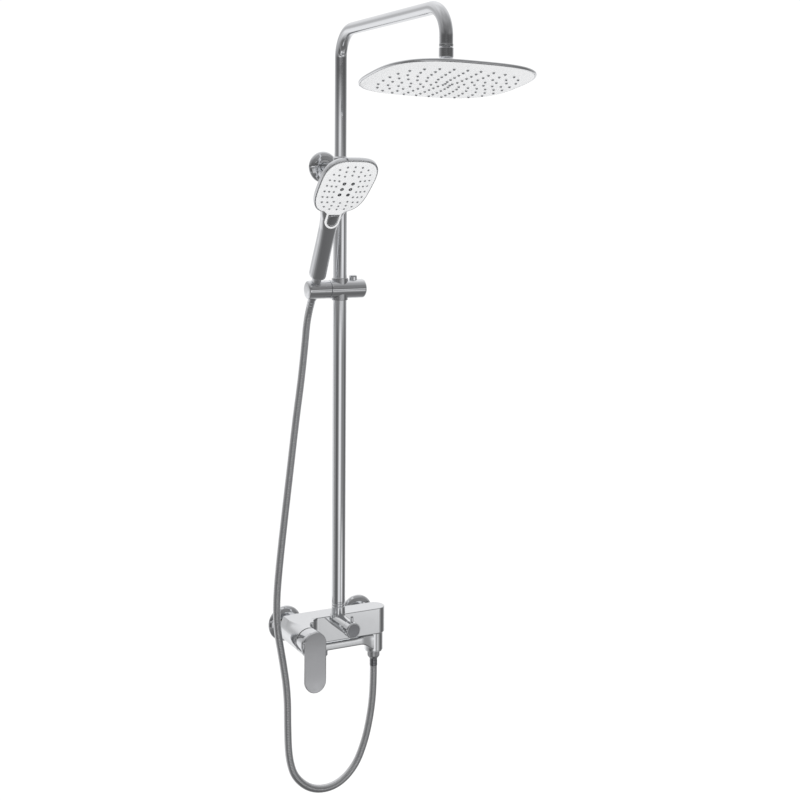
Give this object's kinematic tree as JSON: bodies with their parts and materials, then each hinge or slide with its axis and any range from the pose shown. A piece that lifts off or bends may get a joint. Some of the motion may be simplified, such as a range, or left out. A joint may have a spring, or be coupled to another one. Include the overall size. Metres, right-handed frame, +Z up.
{
  "type": "shower column",
  "caption": "Wall-mounted rainfall shower column: bath mixer with swivelling spout and diverter, riser with bent arm and tilting rain head, and a hand shower on a sliding holder.",
  "frame": {"origin": "on the finished wall face, midway between the centres of the two supply inlets", "axes": "+X to the right along the wall, +Y into the wall, +Z up the riser"},
  "size_m": [0.2704, 0.6227, 1.4366],
  "materials": {
    "chrome_brass": "bright polished chrome plate on brass",
    "chrome_plastic": "bright chrome plate on moulded plastic",
    "white_plastic": "satin white moulding",
    "nozzle_rubber": "pale translucent silicone",
    "dark_plastic": "dark grey inserts",
    "grey_plastic": "unseen inner mouldings",
    "seal_rubber": "black flat washers",
    "ceramic": "ground ceramic discs",
    "brass": "machined brass",
    "steel": "stainless steel",
    "hose_metal": "bright interlocked metal hose"
  },
  "bodies": {
    "root": {"supply_tail_hot": "chrome_brass", "supply_tail_cold": "chrome_brass", "union_nut_hot": "chrome_brass", "union_nut_cold": "chrome_brass", "wall_rose_hot": "chrome_brass", "wall_rose_cold": "chrome_brass", "inlet_washers": "seal_rubber", "mixer_body": "chrome_brass", "cartridge_shell": "grey_plastic", "cartridge_nut": "brass", "ceramic_discs": "ceramic", "diverter_housing": "chrome_brass", "diverter_cartridge": "grey_plastic", "outlet_post": "chrome_brass", "spout_retainer": "grey_plastic", "hose_nut_lower": "chrome_brass", "hose_ferrule_lower": "chrome_brass", "shower_hose": "hose_metal", "riser_base_fitting": "chrome_brass", "lower_riser": "chrome_brass", "riser_top_nut": "chrome_brass", "shower_arm": "chrome_brass", "arm_outlet_fitting": "chrome_brass", "bracket_base": "steel", "bracket_screws": "steel", "bracket_rose": "chrome_brass", "bracket_arm": "chrome_brass", "bracket_grub_screw": "steel"},
    "spout": {"bath_spout": "chrome_brass", "aerator_housing": "chrome_brass", "aerator_insert": "grey_plastic"},
    "temperature_rotor": {"cartridge_rotor": "grey_plastic"},
    "lever": {"lever_handle": "chrome_brass", "lever_grub_screw": "steel", "cartridge_stem": "brass"},
    "diverter": {"diverter_knob": "chrome_brass", "diverter_pin": "chrome_brass", "diverter_spindle": "brass"},
    "carriage": {"slider_bush": "grey_plastic"},
    "slider": {"slider_clamp": "chrome_brass", "slider_lock_spring": "steel", "holder_pivot_screw": "steel"},
    "slider_button": {"slider_lock_button": "chrome_brass"},
    "holder": {"handset_holder": "chrome_brass"},
    "handset": {"handset_shell": "chrome_plastic", "handset_face": "white_plastic", "handset_nozzles": "nozzle_rubber", "handset_jets": "dark_plastic", "handset_water_chamber": "grey_plastic", "handset_water_tube": "grey_plastic", "hose_cone_nut": "chrome_brass", "hose_ferrule_upper": "chrome_brass"},
    "handset_button": {"handset_button": "chrome_plastic"},
    "head_swivel": {"ball_joint_nut": "chrome_brass"},
    "rain_head": {"head_ball_stem": "brass", "rain_head_shell": "chrome_plastic", "rain_head_face": "white_plastic", "rain_head_chamber": "grey_plastic", "rain_head_nozzles": "nozzle_rubber"}
  },
  "joints": [
    {"name": "spout_swivel", "type": "hinge", "parent": "root", "child": "spout", "pos_m": [0.0887, -0.049, -0.04], "axis": [0, 0, 1], "range_deg": [0, 150]},
    {"name": "lever_temperature", "type": "hinge", "parent": "root", "child": "temperature_rotor", "pos_m": [-0.0745, -0.095, 0], "axis": [0, 1, 0], "range_deg": [-45, 45]},
    {"name": "lever_flow", "type": "hinge", "parent": "temperature_rotor", "child": "lever", "pos_m": [-0.0745, -0.0985, 0], "axis": [-1, 0, 0], "range_deg": [0, 20]},
    {"name": "diverter_turn", "type": "hinge", "parent": "root", "child": "diverter", "pos_m": [0, -0.14, 0.018], "axis": [0, 1, 0], "range_deg": [-90, 90]},
    {"name": "slider_height", "type": "slide", "parent": "root", "child": "carriage", "axis": [0, 0, 1], "range_m": [-0.52, 0.19], "deforming": ["shower_hose"]},
    {"name": "slider_swivel", "type": "hinge", "parent": "carriage", "child": "slider", "pos_m": [0, -0.08, 0.636], "axis": [0, 0, 1], "range_deg": [-60, 60], "deforming": ["shower_hose"]},
    {"name": "slider_lock_press", "type": "slide", "parent": "slider", "child": "slider_button", "axis": [0, 0, -1], "range_m": [0, 0.003], "stiffness_N_per_m": 900, "springref_m": -0.003, "deforming": ["slider_lock_spring"]},
    {"name": "holder_tilt", "type": "hinge", "parent": "slider", "child": "holder", "pos_m": [-0.03, -0.08, 0.636], "axis": [1, 0, 0], "range_deg": [-12, 30], "deforming": ["shower_hose"]},
    {"name": "handset_lift", "type": "slide", "parent": "holder", "child": "handset", "axis": [0, -0.5, 0.866], "range_m": [0, 0.045], "deforming": ["shower_hose"]},
    {"name": "handset_button_press", "type": "slide", "parent": "handset", "child": "handset_button", "axis": [0, 0.788, 0.6157], "range_m": [0, 0.002], "stiffness_N_per_m": 1200, "springref_m": -0.002},
    {"name": "head_swivel_turn", "type": "hinge", "parent": "root", "child": "head_swivel", "pos_m": [0, -0.482, 1.04], "axis": [0, 0, 1], "continuous": true},
    {"name": "head_tilt_turn", "type": "hinge", "parent": "head_swivel", "child": "rain_head", "pos_m": [0, -0.482, 1.0375], "axis": [1, 0, 0], "range_deg": [-5.5, 23.5]}
  ]
}
